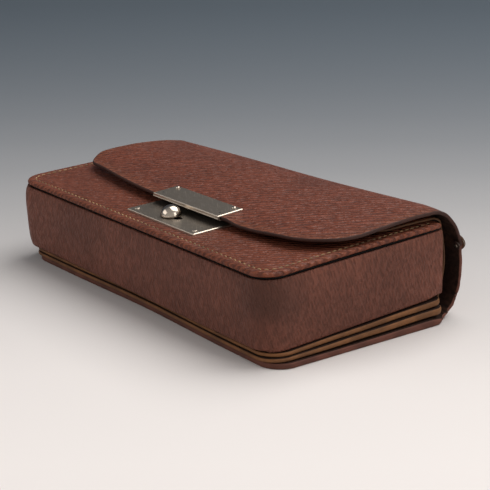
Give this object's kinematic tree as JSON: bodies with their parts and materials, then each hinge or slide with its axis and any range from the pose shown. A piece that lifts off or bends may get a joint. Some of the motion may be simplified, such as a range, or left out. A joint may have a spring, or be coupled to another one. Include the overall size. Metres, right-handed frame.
{
  "type": "leather clutch bag",
  "caption": "Flat boxy leather bag with a stiff compartment, back pockets and a fold-over flap closed by a metal hasp and a sliding knob lock.",
  "frame": {"origin": "in the underside of the back panel, on the table, under the middle of the compartment", "axes": "+X along the bag's length, +Y from the sewn bottom edge to the mouth and its spine, +Z from the back panel up to the front panel and flap"},
  "size_m": [0.1751, 0.0994, 0.0458],
  "materials": {
    "cover_leather": "fine grained, semi-matte, tan cut edges",
    "wall_leather": "pebbled grain, satin",
    "tan_leather": "raw cut edge, burnished",
    "black_welt": "matte",
    "dark_lining": "plain weave, matte",
    "stiff_board": "plain stiffener board, matte",
    "nickel_plate": "nickel plated, satin face",
    "bright_nickel": "nickel plated, polished",
    "lock_steel": "plain pressed steel"
  },
  "bodies": {
    "case": {"back_panel": "cover_leather", "pocket_leaf_lower": "tan_leather", "pocket_leaf_upper": "tan_leather", "body_shell": "wall_leather", "compartment_lining": "dark_lining", "seam_welt": "black_welt", "front_panel": "cover_leather", "panel_board": "stiff_board", "lock_plate": "nickel_plate", "lock_case": "lock_steel", "lock_rivets": "bright_nickel", "lock_burrs": "lock_steel", "bolt_spring": "lock_steel"},
    "lock_slider": {"bolt": "lock_steel", "knob": "bright_nickel"},
    "inner_cover": {"inner_flap": "cover_leather"},
    "spine": {"cover_spine": "cover_leather", "hand_strap": "cover_leather", "strap_studs": "bright_nickel", "strap_burrs": "lock_steel"},
    "front_flap": {"flap": "cover_leather", "hasp_plate": "nickel_plate", "hasp_backing": "lock_steel", "hasp_staple": "lock_steel", "hasp_rivets": "bright_nickel", "hasp_pins": "bright_nickel"}
  },
  "joints": [
    {"name": "spine_fold", "type": "hinge", "parent": "case", "child": "spine", "pos_m": [0, 0.046, 0.0011], "axis": [-1, 0, 0], "range_deg": [0, 30]},
    {"name": "flap_fold", "type": "hinge", "parent": "spine", "child": "front_flap", "pos_m": [0, 0.04776, 0.04179], "axis": [-1, 0, 0], "range_deg": [0, 130]},
    {"name": "inner_fold", "type": "hinge", "parent": "case", "child": "inner_cover", "pos_m": [0, 0.0456, 0.00803], "axis": [-1, 0, 0], "range_deg": [0, 28]},
    {"name": "lock_slide", "type": "slide", "parent": "case", "child": "lock_slider", "axis": [1, 0, 0], "range_m": [0, 0.005]}
  ],
  "couplings": [
    {"joint": "inner_fold", "follows": "spine_fold", "ratio": 0.9}
  ]
}
